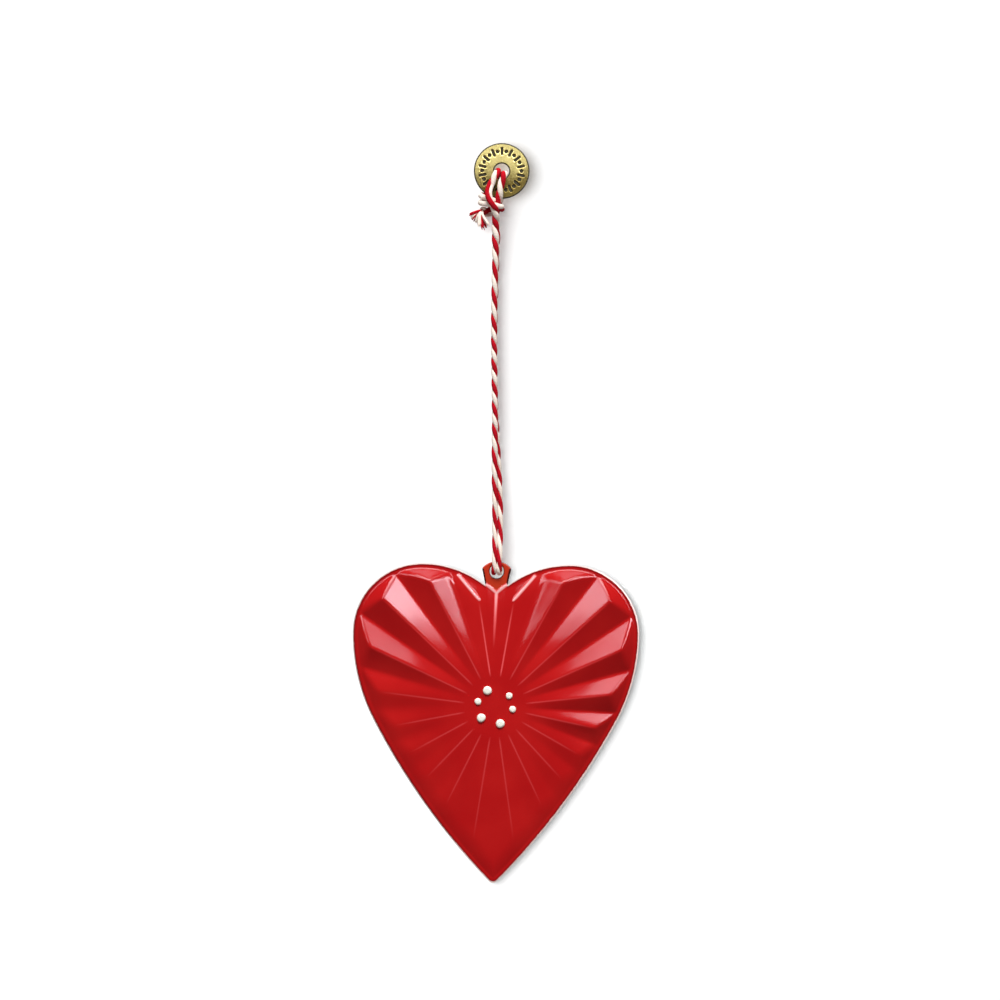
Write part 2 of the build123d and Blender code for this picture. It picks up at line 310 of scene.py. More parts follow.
def bare_tin():
    """Brushed tin, a little clouded."""
    material, shader, start = new_material("bare_tin")
    cloudy = start.mottle(0.004, detail=4.0)
    brushed = start.mottle(0.0004, detail=3.0, stretch=(1, 1, 0.08))
    start.feed(shader, {
        "Base Color": cloudy.step(0.3, 0.7).mix(TIN_SHADE, BARE_TIN),
        "Metallic": 1.0,
        "Roughness": 0.26 + brushed * 0.2,
        "Normal": start.bump(brushed, 0.00001),
    })
    return material


half_width = HEART_WIDTH / 2
lobe_x = LOBE_SPACING / 2
lobe_radius = half_width - lobe_x
widest_z = LOBE_RISE - lobe_radius
side_centre = np.array([half_width - SIDE_RADIUS, widest_z])
shoulder_centre = np.array([lobe_x, LOBE_RISE - SHOULDER_RADIUS])
tab_foot_x = TAB_FOOT_WIDTH / 2
tab_foot_z = shoulder_centre[1] + math.sqrt(SHOULDER_RADIUS**2 - (lobe_x - tab_foot_x) ** 2)
tab_hole_z = tab_foot_z + TAB_HOLE_RISE


def flank_centre():
    """The centre of the arc that touches the side arc from inside and ends at the tip."""
    to_tip = np.array([0, -TIP_DROP]) - side_centre
    length = np.hypot(*to_tip)
    reach = FLANK_RADIUS - SIDE_RADIUS
    along = (reach**2 - FLANK_RADIUS**2 + length**2) / (2 * length)
    way = to_tip / length
    return side_centre + way * along + np.array([way[1], -way[0]]) * math.sqrt(reach**2 - along**2)


def turn_of(offset):
    """The angle of an offset, counted from the right."""
    return math.atan2(offset[1], offset[0])


flank = flank_centre()
tip_turn = turn_of(np.array([0, -TIP_DROP]) - flank)
tip_centre = np.array([0, -TIP_DROP + TIP_ROUND / math.cos(tip_turn)])
HALF_OUTLINE = [
    (shoulder_centre, SHOULDER_RADIUS, math.pi),
    (np.array([lobe_x, widest_z]), lobe_radius, math.pi / 2),
    (side_centre, SIDE_RADIUS, 0.0),
    (flank, FLANK_RADIUS, turn_of(side_centre - flank)),
    (tip_centre, TIP_ROUND, tip_turn),
]


def outline_reach(angle, inset):
    """How far from the flutes' centre the outline lies at angles from the top, moved in by an inset."""
    reach = np.zeros_like(angle)
    for centre, radius, start in HALF_OUTLINE:
        if inset >= radius:
            continue
        along = np.sin(angle) * centre[0] + np.cos(angle) * centre[1]
        room = along**2 - centre @ centre + (radius - inset) ** 2
        found = along + np.sqrt(np.maximum(room, 0))
        turn = np.arctan2(np.cos(angle) * found - centre[1], np.sin(angle) * found - centre[0])
        reach = np.where((room >= 0) & (turn <= start), found, reach)
    return reach


def chord_reach(angle, first, second):
    """How far from the flutes' centre the straight line through two points lies at angles from the top."""
    run = second - first
    return (first[0] * run[1] - first[1] * run[0]) / (np.sin(angle) * run[1] - np.cos(angle) * run[0])


def flute_angle(step):
    """The angle from the top of a valley, at an even step, or of a ridge, at an odd one."""
    even = math.pi * step / FLUTES
    return even + FLUTE_LEAN * math.sin(even)


def flute_columns():
    """For each column of the mesh, going clockwise: its angle, its climb from valley to ridge, and the
    angle of its half flute."""
    right = []
    for step in range(FLUTES):
        low, high = flute_angle(step), flute_angle(step + 1)
        shares = list(FLUTE_COLUMNS)
        if step < TAB_FLUTES:
            shares = list(np.linspace(0, 1, TAB_FLUTE_COLUMNS, endpoint=False))
        if step == 0:
            shares = sorted(shares + [math.atan2(tab_foot_x, tab_foot_z) / high])
        for share in shares:
            climb = 1 - share if step % 2 else share
            right.append((low + (high - low) * share, climb, high - low))
    bottom = [(math.pi, 0.0, right[-1][2])]
    left = [(-angle, climb, half) for angle, climb, half in right[:0:-1]]
    return [np.array(column) for column in zip(*(right + bottom + left))]


def rounded(distance, radius):
    """A distance from a crease, made round within a radius of it."""
    return np.where(distance < radius, distance**2 / (2 * radius) + radius / 2, distance)


def lesser(first, second, radius):
    """The lesser of two heights, with a round crease where they cross."""
    near = np.maximum(radius - np.abs(first - second), 0) / radius
    return np.minimum(first, second) - near**2 * radius / 4


def grid_faces(rows, columns, first=0):
    """Quads between rings of points, row after row."""
    faces = []
    for row in range(rows - 1):
        low, high = first + row * columns, first + (row + 1) * columns
        for column in range(columns):
            after = (column + 1) % columns
            faces.append((low + column, low + after, high + after, high + column))
    return faces


def bead_share(x, z):
    """How much a point is on the raised Y below the tab, or on one of the bars beside it."""
    slope = TAB_VEE_DEPTH / tab_foot_x
    low = tab_foot_z + TAB_VEE_RISE - TAB_VEE_DEPTH
    arm = np.abs(z - low - np.abs(x) * slope) / math.hypot(1, slope)
    arm = np.where(np.abs(x) < TAB_ARM_END, arm / ARM_WIDTH, 1)
    run = BAR_OUTER - BAR_INNER
    right, up = np.abs(x) - BAR_INNER[0], z - BAR_INNER[1]
    along = (right * run[0] + up * run[1]) / (run @ run)
    aside = np.abs(right * run[1] - up * run[0]) / np.hypot(*run)
    breadth = BAR_BREADTH * np.clip(BAR_TAPER + along * BAR_FLARE, BAR_TAPER, 1)
    bar = np.where((along > 0) & (along < 1), aside / breadth, 1)
    fade = np.clip((z - BEAD_END) / (low - BEAD_END), 0, 1)
    width = STEM_WIDTH * (1 - STEM_TAPER * (1 - fade))
    stem = np.where((z < low) & (z > BEAD_END), np.abs(x + STEM_LEAN * (low - z)) / width, 1)
    return fade * np.clip(1 - (np.minimum(np.minimum(arm, stem), bar) * 2) ** 2, 0, 1)


def rim_runs(turn):
    """For angles from the top: whether the tab's foot is there, how far out the edge and the rim's inner
    line lie, and how long the hips and their zone of close rows are. The inner line dips to the Y."""
    at_foot = turn < math.atan2(tab_foot_x, tab_foot_z) - HAIR
    outer = np.where(at_foot, tab_foot_z / np.cos(turn), outline_reach(turn, 0.0))
    first_ridge = flute_angle(1)
    rim_start = outline_reach(np.array([first_ridge]), RIM_WIDTH)[0]
    rim_start = rim_start * np.array([math.sin(first_ridge), math.cos(first_ridge)])
    vee_low = np.array([0, tab_foot_z - TAB_VEE_DEPTH])
    vee_end_x = tab_foot_x - TAB_VEE_MARGIN
    vee_end = np.array([vee_end_x, vee_low[1] + TAB_VEE_DEPTH * vee_end_x / tab_foot_x])
    in_vee, in_gap = turn < math.atan2(*vee_end), turn < first_ridge
    rim_reach = outline_reach(turn, RIM_WIDTH)
    inner = np.where(in_gap, chord_reach(turn, vee_end, rim_start), rim_reach)
    inner = np.where(in_vee, chord_reach(turn, vee_low, vee_end), inner)
    gap_end = np.argmin(np.abs(turn - first_ridge))
    runs = []
    for inset in (HIP_LENGTH, HIP_ZONE):
        run = rim_reach - outline_reach(turn, inset)
        runs.append(np.where(in_gap, run[gap_end], run))
    return at_foot, outer, inner, *runs


def flute_heights(angle, climb, width, reach, inner, hip_run):
    """How high the stamped flutes stand, down to their hips, which slope to the rim."""
    beyond = np.maximum(reach - CENTRE_RADIUS, 0)
    fall = np.clip(beyond / (inner - CENTRE_RADIUS), 0, 1)
    depth = np.interp(np.degrees(angle), RELIEF_TURNS, RELIEF_SHARES)
    kept = 1 - RELIEF_SINK * (1 - depth)
    ridge = CENTRE_HEIGHT * (1 - fall + fall * kept) + RIDGE_CLIMB * beyond * kept
    valley = CENTRE_HEIGHT * (1 - fall**VALLEY_FALL)
    softness = np.interp(np.degrees(angle), SOFT_TURNS, SOFT_SHARES)
    soft = np.minimum(CREASE_ROUND * softness, width / 2)
    to_valley, to_ridge = climb * width, (1 - climb) * width
    flank_run = rounded(to_valley, soft) - rounded(to_ridge, soft) + to_ridge
    height = (ridge + valley) / 2 + (ridge - valley) * (flank_run / width - 0.5) * depth
    hip_slope = kept * (CENTRE_HEIGHT + RIDGE_CLIMB * (inner - hip_run - CENTRE_RADIUS)) / hip_run
    hip_round = np.interp(np.degrees(np.abs(angle)), HIP_TURNS, HIP_ROUNDS)
    inward = inner - reach
    eased = np.maximum(inward + CREASE_ROUND, 0) ** 2 / (4 * CREASE_ROUND)
    rise = np.where(inward > CREASE_ROUND, inward, eased)
    return np.maximum(lesser(height, hip_slope * rise, hip_round), 0)


def crest_highlight_shares(turn, climb, width, reach, inner, hip_run):
    """How much the ridges are painted lighter, for thinner lacquer and a painted highlight along each
    crest:
    most near the centre, and not at all where the hips start.
    """
    across = np.clip(1 - (1 - climb) * width / CREST_WIDTH, 0, 1)
    along = np.interp(np.maximum(reach - CENTRE_RADIUS, 0), CREST_RUNS, CREST_SHARES)
    crest = across * along * np.clip((inner - reach - hip_run) / CREST_END, 0, 1)
    return np.where(turn < flute_angle(TAB_FLUTES), crest * CREST_TAB_GAIN, crest)


def heart_relief():
    """The front of the heart without its tab: points, faces, marks, the numbers of its outer ring, and
    which of those are at the tab's foot."""
    angle, climb, half = flute_columns()
    turn = np.abs(angle)
    at_foot, outer, inner, hip_run, zone_run = rim_runs(turn)
    zone = inner - zone_run
    flat = [np.full_like(angle, CENTRE_RADIUS * share) for share in CENTRE_ROWS]
    fluted = [CENTRE_RADIUS + (zone - CENTRE_RADIUS) * share for share in np.linspace(0, 1, FLUTE_ROWS)[1:]]
    hips = [zone + (inner - zone) * share for share in np.linspace(0, 1, HIP_ROWS)[1:]]
    rim = [inner + (outer - inner) * share for share in RIM_ROWS]
    reach = np.array(flat + fluted + hips + rim)
    width = np.maximum(reach * half, HAIR)
    height = flute_heights(angle, climb, width, reach, inner, hip_run)
    x, z = reach * np.sin(angle), reach * np.cos(angle)
    dents = [noise.noise(Vector((px, pz, 0.5)) / DENT_SIZE) for px, pz in zip(x.ravel(), z.ravel())]
    height = height + DENT_HEIGHT * np.reshape(dents, x.shape) * np.clip(height / CENTRE_HEIGHT, 0, 1)
    to_edge = np.where(at_foot, FAR_FROM_EDGE, outer - reach)
    height = height - EDGE_DROP * np.maximum(1 - to_edge / EDGE_ROUND, 0) ** 2
    bead = bead_share(x, z)
    height = height + BEAD_HEIGHT * bead
    points = np.stack([x, -SHEET_THICKNESS / 2 - height, z - HEART_DROP], axis=-1).reshape(-1, 3)
    middle = (0, -SHEET_THICKNESS / 2 - CENTRE_HEIGHT, -HEART_DROP)
    points = np.vstack([points, middle])
    rows, columns = reach.shape
    faces = grid_faces(rows, columns)
    faces += [(len(points) - 1, (column + 1) % columns, column) for column in range(columns)]
    crest = crest_highlight_shares(turn, climb, width, reach, inner, hip_run)
    marks = {
        "edge": np.append(to_edge, FAR_FROM_EDGE) * MILLIMETRES,
        "crest": np.append(crest, 0.0),
        "bead": np.append(bead, 0.0),
    }
    outer_ring = (rows - 1) * columns + np.arange(columns)
    return points, faces, marks, outer_ring, at_foot | np.isclose(turn, math.atan2(tab_foot_x, tab_foot_z))


def tab_side():
    """The right half of the tab's outline, from its foot past its corner to the middle of its top."""
    foot = np.array([tab_foot_x, tab_foot_z])
    corner = np.array([TAB_WIDTH / 2, tab_hole_z + TAB_CORNER_RISE])
    sag = TAB_TOP_RISE - TAB_CORNER_RISE
    radius = (corner[0] ** 2 + sag**2) / (2 * sag)
    middle = np.array([0, tab_hole_z + TAB_TOP_RISE - radius])
    way = (corner - foot) / np.hypot(*(corner - foot))
    last = corner - way * TAB_CORNER_ROUND
    arc_end = turn_of(corner - middle) + TAB_CORNER_ROUND / radius
    first = middle + radius * np.array([math.cos(arc_end), math.sin(arc_end)])
    side = [foot + (last - foot) * share for share in np.linspace(0, 1, TAB_SIDE_STEPS)[1:]]
    shares = np.linspace(0, 1, TAB_CORNER_STEPS)[1:]
    bend = [last * (1 - t) ** 2 + corner * 2 * t * (1 - t) + first * t**2 for t in shares]
    turns = np.linspace(arc_end, math.pi / 2, TAB_TOP_STEPS)[1:]
    return side + bend + [middle + radius * np.array([math.cos(t), math.sin(t)]) for t in turns]


def add_tab(points, faces, foot_line):
    """Adds the faces of the tab, from its hole to its outline. Gives its new points, how far each is from
    an edge where lacquer gathers dark, brought nearer on the right side for painted shade, and the numbers
    of its rings of points."""
    right = tab_side()
    left = [p * (-1, 1) for p in right[-2::-1]]
    loop = np.array([points[number][[0, 2]] + (0, HEART_DROP) for number in foot_line] + right + left)
    offset = loop - (0, tab_hole_z)
    hole = offset / np.hypot(*offset.T)[:, None] * TAB_HOLE_DIAMETER / 2 + (0, tab_hole_z)
    new_points, edge, rings = [], [], []
    for share in TAB_ROWS:
        ring = []
        for place, (inside, outside) in enumerate(zip(hole, loop)):
            if share == 1.0 and place < len(foot_line):
                ring.append(foot_line[place])
                continue
            x, z = inside + (outside - inside) * share
            gap = np.hypot(*(outside - inside))
            free_edge = gap * (1 - share) if place >= len(foot_line) else FAR_FROM_EDGE
            drop = EDGE_DROP * max(1 - min(gap * share, free_edge) / EDGE_ROUND, 0) ** 2
            ring.append(len(points) + len(new_points))
            new_points.append((x, -SHEET_THICKNESS / 2 + drop, z - HEART_DROP))
            on_top = outside[1] > tab_hole_z + TAB_CORNER_RISE
            clean = EDGE_ROUND if on_top else 0
            # Painted shade: on the right side of the tab the dark edge line reaches further in.
            shaded = TAB_SHADED if outside[0] > 0 else 0
            edge.append(min(free_edge + clean - shaded, gap * share + TAB_HOLE_CLEAN))
        rings.append(ring)
    for low, high in zip(rings, rings[1:]):
        for place in range(len(loop)):
            after = (place + 1) % len(loop)
            faces.append((low[place], high[place], high[after], low[after]))
    return np.array(new_points), np.array(edge), rings


def add_piece(name, points, faces, materials, slots=None, marks=None, sharp=50):
    """A smooth mesh object in the ornament's frame, with a material number for each face."""
    mesh = bpy.data.meshes.new(name)
    mesh.from_pydata([tuple(p) for p in points], [], [tuple(int(n) for n in face) for face in faces])
    for material in materials:
        mesh.materials.append(material)
    if slots is not None:
        mesh.polygons.foreach_set("material_index", slots)
    for mark, values in (marks or {}).items():
        mesh.attributes.new(mark, "FLOAT", "POINT").data.foreach_set("value", values)
    mesh.shade_smooth()
    mesh.set_sharp_from_angle(angle=math.radians(sharp))
    piece = bpy.data.objects.new(name, mesh)
    scene.collection.objects.link(piece)
    return piece


def make_heart():
    """The whole sheet: the fluted front, the tab round its hole, the back and the cut edges."""
    points, faces, marks, ring, at_foot = heart_relief()
    columns = len(ring)
    foot_turns = [column for column in range(columns) if at_foot[column]]
    foot_turns.sort(key=lambda column: column if column < columns / 2 else column - columns)
    foot_line = [ring[column] for column in foot_turns]
    tab_points, tab_edge, tab_rings = add_tab(points, faces, foot_line)
    points = np.vstack([points, tab_points])
    marks["edge"] = np.append(marks["edge"], tab_edge * MILLIMETRES)
    marks["crest"] = np.append(marks["crest"], np.zeros(len(tab_edge)))
    tab_x, _, tab_z = tab_points.T
    marks["bead"] = np.append(marks["bead"], bead_share(tab_x, tab_z + HEART_DROP))
    vee_low = tab_foot_z + TAB_VEE_RISE - TAB_VEE_DEPTH
    over_vee = (points[:, 2] + HEART_DROP - vee_low) / TAB_VEE_DEPTH
    aside = np.abs(points[:, 0])
    in_vee = aside < over_vee * tab_foot_x + TAB_MASK_VEE_MARGIN
    marks["tab"] = np.where(in_vee & (aside < TAB_WIDTH / 2 + TAB_MASK_SIDE_MARGIN), 1.0, 0.0)

    count = len(points)
    sheet = np.vstack([points, points + (0, SHEET_THICKNESS, 0)])
    front = len(faces)
    faces += [tuple(number + count for number in reversed(face)) for face in faces]
    rim = [ring[column] for column in range(columns) if not at_foot[column]]
    rim = [foot_line[-1]] + rim + [foot_line[0]] + tab_rings[-1][:len(foot_line) - 1:-1]
    for edge_loop in (rim, tab_rings[0]):
        for here, after in zip(edge_loop, edge_loop[1:] + edge_loop[:1]):
            faces.append((here, after, after + count, here + count))
    slots = [0] * front + [1] * (len(faces) - front)
    values = {name: np.tile(mark, 2) for name, mark in marks.items()}
    return add_piece("fluted_heart", sheet, faces, [lacquered_tin(), bare_tin()], slots, values)


heart = make_heart()
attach(heart, "heart")
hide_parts("tin_heart")

# Enamel drops. Six beads of thick white enamel, dripped by hand on the flat centre, three of them larger.
# Each is a low dome with a soft foot, a little out of round.
DROP_CIRCLE_RADIUS = 0.0038
LARGE_DROP_WIDTH = 0.0019
SMALL_DROP_WIDTH = 0.00148
DROP_HEIGHT_SHARE = 0.26
DROPS = [
    (116, LARGE_DROP_WIDTH),
    (38, SMALL_DROP_WIDTH),
    (-8, SMALL_DROP_WIDTH),
    (-72, LARGE_DROP_WIDTH),
    (-140, LARGE_DROP_WIDTH),
    (164, SMALL_DROP_WIDTH),
]
DROP_SINK = 0.00005
DROP_FULLNESS = 5
DROP_OVAL = 0.03
DROP_THREE_SIDED = 0.02
DROP_SIDES = 36
DROP_ROWS = 12
ENAMEL_WHITE = (0.97, 0.95, 0.85, 1)
ENAMEL_CREAM = (0.93, 0.89, 0.77, 1)


def white_enamel():
    """Glossy off-white enamel."""
    material, shader, start = new_material("white_enamel")
    cloudy = start.mottle(0.0007)
    start.feed(shader, {
        "Base Color": cloudy.step(0.25, 0.8).mix(ENAMEL_CREAM, ENAMEL_WHITE),
        "Roughness": 0.3 + cloudy * 0.1,
        "Coat Weight": 0.6,
        "Coat Roughness": 0.08,
        "Normal": start.bump(start.mottle(0.0005), 0.000008),
    })
    return material


def make_drop(name, angle, width, material, wobble):
    """One drop: a dome a little out of round, sunk a little into the lacquer."""
    turns = np.linspace(0, 2 * math.pi, DROP_SIDES, endpoint=False)
    out = 1 + DROP_OVAL * np.sin(2 * turns + wobble) + DROP_THREE_SIDED * np.sin(3 * turns + 2 * wobble)
    shares = np.linspace(1, 0, DROP_ROWS + 1)[:-1]
    full_height = DROP_HEIGHT_SHARE * width + DROP_SINK
    seat = np.array([
        DROP_CIRCLE_RADIUS * math.cos(math.radians(angle)),
        -SHEET_THICKNESS / 2 - CENTRE_HEIGHT + DROP_SINK,
        DROP_CIRCLE_RADIUS * math.sin(math.radians(angle)) - HEART_DROP,
    ])
    points = []
    for share in shares:
        height = full_height * math.sqrt(1 - share**DROP_FULLNESS)
        for turn, reach in zip(turns, out * share * width / 2):
            points.append(seat + (reach * math.cos(turn), -height, reach * math.sin(turn)))
    points.append(seat - (0, full_height, 0))
    faces = grid_faces(DROP_ROWS, DROP_SIDES)
    top = DROP_SIDES * (DROP_ROWS - 1)
    faces += [(len(points) - 1, top + n, top + (n + 1) % DROP_SIDES) for n in range(DROP_SIDES)]
    faces = [tuple(reversed(face)) for face in faces]
    faces.append(tuple(range(DROP_SIDES)))
    return add_piece(name, points, faces, [material])


enamel = white_enamel()
drop_shapes = random.Random(4)
drops = []
for number, (angle, width) in enumerate(DROPS, 1):
    drop = make_drop(f"enamel_bead_{number}", angle, width, enamel, drop_shapes.uniform(0, 6))
    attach(drop, "heart")
    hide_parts(f"enamel_drop_{number}")
    drops.append(drop)

# Twine. One length of cotton baker's twine, a red and a white yarn laid up together, doubled through the
# tab. Both its ends go through the tag's hole and are hitched round the legs. It is laid as one line and
# cut into stretches.
TWINE_DIAMETER = 0.0014
THICK_HEIGHTS = (-0.085, -0.076, -0.058, -0.020, -0.014, 0.0)
THICK_SHARES = (0.88, 0.90, 0.98, 1.02, 1.18, 1.12)
LAY_HEIGHTS = (-0.090, -0.060, -0.055, -0.036, -0.031, 0.0)
LAYS = (0.0063, 0.0063, 0.0046, 0.0046, 0.0055, 0.0055)
TWINE_TURN = math.radians(60)
BIGHT_TURN = math.radians(-86)
HITCH_PLACES = (5, 15, 21, 22, 24, 25, 26)
HITCH_TURNS = (-950, -30, -170, -50, 85, 60, 0)
BACK_PLACES = (56, 61)
BACK_TURN = math.radians(100)
LAY_DRIFT = 0.25
LAY_DRIFT_RUN = 0.027
LAY_DRIFT_WAVES = ((2 * math.pi, 0, 1.0), (5, 1, 0.6))
YARN_DEPTH = 0.00042
YARN_WIDTH = 0.00050
YARN_SIDES = 16
YARN_COLOURS = (0, 1)
PLY_RATE = 9.0
PLY_LEAN = 3.0
ROUTE_STEPS = 24
KNOT_FOOT = -0.011
KNOT_FLEX = (-0.0103, -0.019)
TWIST_FLEX = (-0.040, -0.068)
TAB_FLEX = (-0.0725, -0.0805)
TAB_LOOP_TOP = -0.083
UPPER_CUT = -0.038
LOWER_CUT = -0.0695

RED_COTTON = (0.53, 0.0, 0.012, 1)
RED_SHADE = (0.37, 0.0, 0.004, 1)
WHITE_COTTON = (0.97, 0.87, 0.78, 1)
WHITE_SHADE = (0.90, 0.73, 0.62, 1)

FRONT_HITCH = [
    (-0.00400, -0.00040, -0.00850),
    (-0.00310, 0.00070, -0.00845),
    (-0.00210, 0.00170, -0.00825),
    (-0.00090, 0.00170, -0.00810),
    (0.00005, 0.00090, -0.00800),
    (0.00000, -0.00090, -0.00785),
    (-0.00120, -0.00160, -0.00750),
    (-0.00280, -0.00165, -0.00720),
    (-0.00425, -0.00090, -0.00695),
    (-0.00420, 0.00070, -0.00665),
    (-0.00290, 0.00160, -0.00650),
    (-0.00160, 0.00120, -0.00650),
    (-0.00140, -0.00060, -0.00645),
    (-0.00230, -0.00150, -0.00615),
    (-0.00400, -0.00120, -0.00560),
    (-0.00425, 0.00040, -0.00525),
    (-0.00320, 0.00150, -0.00510),
]
FRONT_STRAND = [
    (-0.00200, 0.00150, -0.00430),
    (-0.00120, 0.00145, -0.00260),
    (-0.00080, 0.00140, -0.00010),
    (-0.00080, -0.00140, -0.00010),
    (-0.00215, -0.00160, -0.00260),
    (-0.00285, -0.00230, -0.00440),
    (-0.00260, -0.00270, -0.00600),
    (-0.00180, -0.00270, -0.00740),
    (-0.00105, -0.00180, -0.00900),
]
LEGS = [
    (-0.00125, -0.00095, -0.01150),
    (-0.00106, -0.00075, -0.01600),
    (-0.00125, -0.00072, -0.02700),
    (-0.00118, -0.00070, -0.03700),
    (-0.00090, -0.00068, -0.04700),
    (-0.00074, -0.00066, -0.05500),
    (-0.00076, -0.00060, -0.06300),
    (-0.00056, -0.00050, -0.07000),
    (-0.00050, -0.00050, -0.07600),
    (-0.00046, -0.00080, -0.07960),
    (-0.00048, -0.00112, -0.08200),
    (-0.00052, -0.00116, -0.08380),
    (-0.00054, -0.00110, -0.08580),
    (-0.00066, 0.00110, -0.08575),
    (-0.00058, 0.00130, -0.08420),
    (-0.00040, 0.00120, -0.08280),
    (0.00040, 0.00120, -0.08280),
    (0.00058, 0.00130, -0.08420),
    (0.00066, 0.00110, -0.08575),
    (0.00054, -0.00120, -0.08590),
    (0.00052, -0.00146, -0.08390),
    (0.00056, -0.00134, -0.08200),
    (0.00066, -0.00070, -0.07930),
    (0.00066, -0.00005, -0.07600),
    (0.00054, 0.00040, -0.07000),
    (0.00008, 0.00060, -0.06300),
    (-0.00050, 0.00066, -0.05500),
    (-0.00094, 0.00068, -0.04700),
    (-0.00115, 0.00070, -0.03700),
    (-0.00112, 0.00072, -0.02700),
    (-0.00088, 0.00075, -0.01600),
    (-0.00098, 0.00085, -0.01200),
]
BACK_STRAND = [
    (-0.00130, 0.00050, -0.00960),
    (-0.00090, -0.00030, -0.00800),
    (-0.00050, -0.00110, -0.00660),
    (-0.00045, -0.00155, -0.00520),
    (-0.00020, -0.00150, -0.00340),
    (0.00055, -0.00140, -0.00058),
    (0.00055, 0.00140, -0.00058),
    (0.00035, 0.00145, -0.00320),
    (-0.00010, 0.00150, -0.00530),
    (-0.00040, 0.00190, -0.00690),
]
BACK_HITCH = [
    (-0.00120, 0.00260, -0.00830),
    (-0.00260, 0.00210, -0.00910),
    (-0.00400, 0.00090, -0.00890),
]


def cotton(name, shade, colour):
    """Matte cotton yarn with fine plies, in two shades of one colour."""
    material, shader, start = new_material(name)
    along, around = start.marked("along"), start.marked("around")
    plies = start.node("Math", {"operation": "SINE"}, {0: along * PLY_RATE + around * PLY_LEAN})
    fibres = start.mottle(0.00016, detail=4.0)
    lighter_share = start.mottle(0.0015)
    light = (plies * 0.1 + fibres * 0.5 + lighter_share * 0.5).step(0.05, 0.85)
    start.feed(shader, {
        "Base Color": light.mix(shade, colour),
        "Roughness": 0.75 + fibres * 0.2,
        "Sheen Weight": 0.02,
        "Sheen Roughness": 0.5,
        "Specular IOR Level": 0.05,
        "Normal": start.bump(plies * 0.2 + fibres, 0.00004),
    })
    return material


def smooth_line(route, steps):
    """The points of a smooth spline that has the route's points as its control points."""
    curve = bpy.data.curves.new("route", "CURVE")
    curve.dimensions = "3D"
    curve.resolution_u = steps
    spline = curve.splines.new("NURBS")
    spline.points.add(len(route) - 1)
    for point, place in zip(spline.points, route):
        point.co = (*place, 1)
    spline.order_u = 3
    spline.use_endpoint_u = True
    holder = bpy.data.objects.new("route", curve)
    line = bpy.data.meshes.new_from_object(holder)
    points = np.array([vertex.co for vertex in line.vertices])
    bpy.data.meshes.remove(line)
    bpy.data.objects.remove(holder)
    bpy.data.curves.remove(curve)
    return points


def unit(vectors):
    """Vectors of length one the same way."""
    return vectors / np.linalg.norm(vectors, axis=-1, keepdims=True)


def carried_sides(line):
    """Two directions square to a line at each of its points, carried along it without twist."""
    ways = unit(np.gradient(line, axis=0))
    side = np.cross(ways[0], (0.0, 1.0, 0.0))
    sides = []
    for way in ways:
        side = unit(side - way * (side @ way))
        sides.append(side)
    sides = np.array(sides)
    return sides, np.cross(ways, sides)


def tube_points(line, outward, depth, width, sides=YARN_SIDES):
    """Oval rings of points round a line, each starting at its outward side."""
    ways = unit(np.gradient(line, axis=0))
    first = unit(outward - ways * np.sum(outward * ways, axis=1, keepdims=True))
    second = np.cross(ways, first)
    turns = np.linspace(0, 2 * math.pi, sides, endpoint=False)
    out = np.cos(turns)[:, None] * (first * np.reshape(depth, (-1, 1)))[:, None]
    aside = np.sin(turns)[:, None] * (second * np.reshape(width, (-1, 1)))[:, None]
    return (line[:, None] + out + aside).reshape(-1, 3)


twine_route = FRONT_HITCH + FRONT_STRAND + LEGS + BACK_STRAND + BACK_HITCH
twine_line = smooth_line(twine_route, ROUTE_STEPS)
twine_run = np.append(0, np.cumsum(np.linalg.norm(np.diff(twine_line, axis=0), axis=1)))
side, cross_side = carried_sides(twine_line)
drift = np.zeros_like(twine_run)
for rate, start, share in LAY_DRIFT_WAVES:
    drift += share * np.sin(twine_run / LAY_DRIFT_RUN * rate + start)
lay = np.interp(twine_line[:, 2], LAY_HEIGHTS, LAYS)
lay_turn = TWINE_TURN - np.cumsum(np.gradient(twine_run) / lay) * 2 * math.pi + LAY_DRIFT * drift
in_tab = twine_run[twine_line[:, 2] < TAB_LOOP_TOP]
lay_turn += np.interp(twine_run, (in_tab[0], in_tab[-1]), (0, BIGHT_TURN))
route_place = np.linspace(0, len(twine_route) - 1, len(twine_line))
lay_turn += np.radians(np.interp(route_place, HITCH_PLACES, HITCH_TURNS))
lay_turn += np.interp(route_place, BACK_PLACES, (0, BACK_TURN))
thick = np.interp(twine_line[:, 2], THICK_HEIGHTS, THICK_SHARES)
cottons = [cotton("red_cotton", RED_SHADE, RED_COTTON), cotton("white_cotton", WHITE_SHADE, WHITE_COTTON)]
yarns = []
for number in range(len(YARN_COLOURS)):
    turn = (lay_turn + number * 2 * math.pi / len(YARN_COLOURS))[:, None]
    outward = side * np.cos(turn) + cross_side * np.sin(turn)
    yarn_line = twine_line + outward * ((TWINE_DIAMETER / 2 - YARN_DEPTH) * thick)[:, None]
    yarn = tube_points(yarn_line, outward, YARN_DEPTH * thick, YARN_WIDTH * thick)
    yarns.append(yarn.reshape(len(twine_line), YARN_SIDES, 3))


def tube_faces(rings, sides, first):
    """Quads round a tube, and a face that closes each of its ends."""
    last = first + (rings - 1) * sides
    ends = [tuple(range(first + sides - 1, first - 1, -1)), tuple(range(last, last + sides))]
    return grid_faces(rings, sides, first) + ends


def cut_place(height, start):
    """The number of the first point, from a start on, where the twine's line crosses a height."""
    z = twine_line[:, 2] - height
    return start + int(np.argmax(z[start:-1] * z[start + 1:] <= 0))


